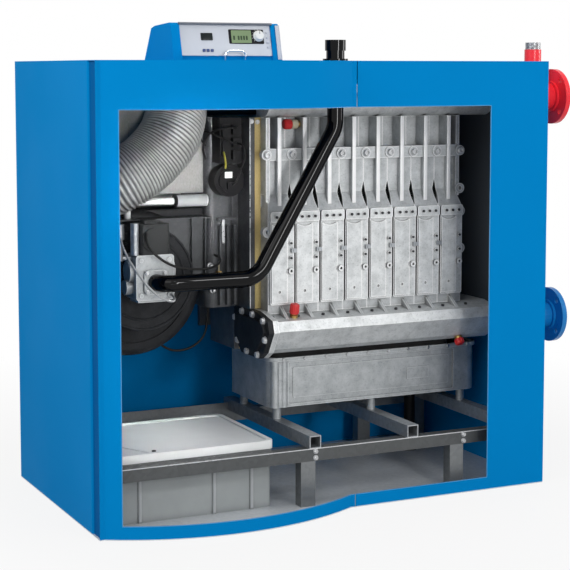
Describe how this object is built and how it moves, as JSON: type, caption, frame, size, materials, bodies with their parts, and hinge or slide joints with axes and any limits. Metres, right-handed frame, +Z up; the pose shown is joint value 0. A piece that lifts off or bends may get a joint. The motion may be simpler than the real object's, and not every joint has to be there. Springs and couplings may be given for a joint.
{
  "type": "industrial condensing gas boiler",
  "caption": "Floor-standing condensing gas boiler in a blue casing whose bowed front is cut open to show its cast heat exchanger, gas line, fan, frame and neutraliser box.",
  "frame": {"origin": "on the floor under the middle of the whole boiler", "axes": "+X along the front to the water flanges, +Y to the rear, +Z up"},
  "size_m": [1.781, 1.0103, 1.513],
  "materials": {
    "casing": "smooth blue powder coat",
    "galvanised": "zinc-coated sheet and tube",
    "casting": "sand-cast light alloy",
    "covers": "die-cast light alloy",
    "black": "black paint",
    "black_plastic": "moulded black plastic",
    "seal": "dark seal",
    "flow_red": "red gloss paint",
    "return_blue": "blue gloss paint",
    "thread": "bare steel thread",
    "board": "compressed fibre board",
    "duct": "corrugated aluminium foil",
    "white_plastic": "white moulded plastic",
    "panel": "silver-grey moulded face",
    "display": "unlit green liquid crystal",
    "lining": "grey faced mat",
    "knob": "white moulded knob"
  },
  "bodies": {
    "root": {"base_pan": "galvanised", "left_side_panel": "casing", "right_side_panel": "casing", "rear_panel": "casing", "top_panel": "casing", "front_panel_left": "casing", "front_panel_right": "casing", "corner_posts": "casing", "head_rail_bar": "galvanised", "front_rail": "galvanised", "rear_rail": "galvanised", "cross_rails": "galvanised", "frame_legs": "galvanised", "condensate_tray": "casting", "tray_seal": "seal", "condensate_drain": "black_plastic", "cleaning_covers": "covers", "cover_clamps": "galvanised", "return_manifold": "casting", "manifold_end_cover": "black", "flow_manifold": "casting", "flow_connection": "flow_red", "safety_thread": "thread", "return_connection": "return_blue", "burner_hood": "black", "insulating_board": "board", "burner_control": "black_plastic", "ignition_unit": "black_plastic", "fan_housing": "black", "fan_inlet_box": "galvanised", "fan_plate": "galvanised", "venturi": "black", "gas_valve": "casting", "valve_solenoid": "black_plastic", "pressure_switch": "galvanised", "gas_pipe": "black", "gas_inlet": "black", "air_duct": "duct", "air_collar": "galvanised", "air_tube": "white_plastic", "flue_collector": "galvanised", "flue_spigot": "galvanised", "neutraliser_box": "white_plastic", "neutraliser_lid": "white_plastic", "controller_housing": "casing", "control_panel": "panel", "control_display": "display", "control_knob": "knob", "lining_light": "lining", "lining_dark": "seal", "section_1": "casting", "section_2": "casting", "section_3": "casting", "section_4": "casting", "section_5": "casting", "section_6": "casting", "section_7": "casting", "section_8": "casting"}
  },
  "joints": []
}
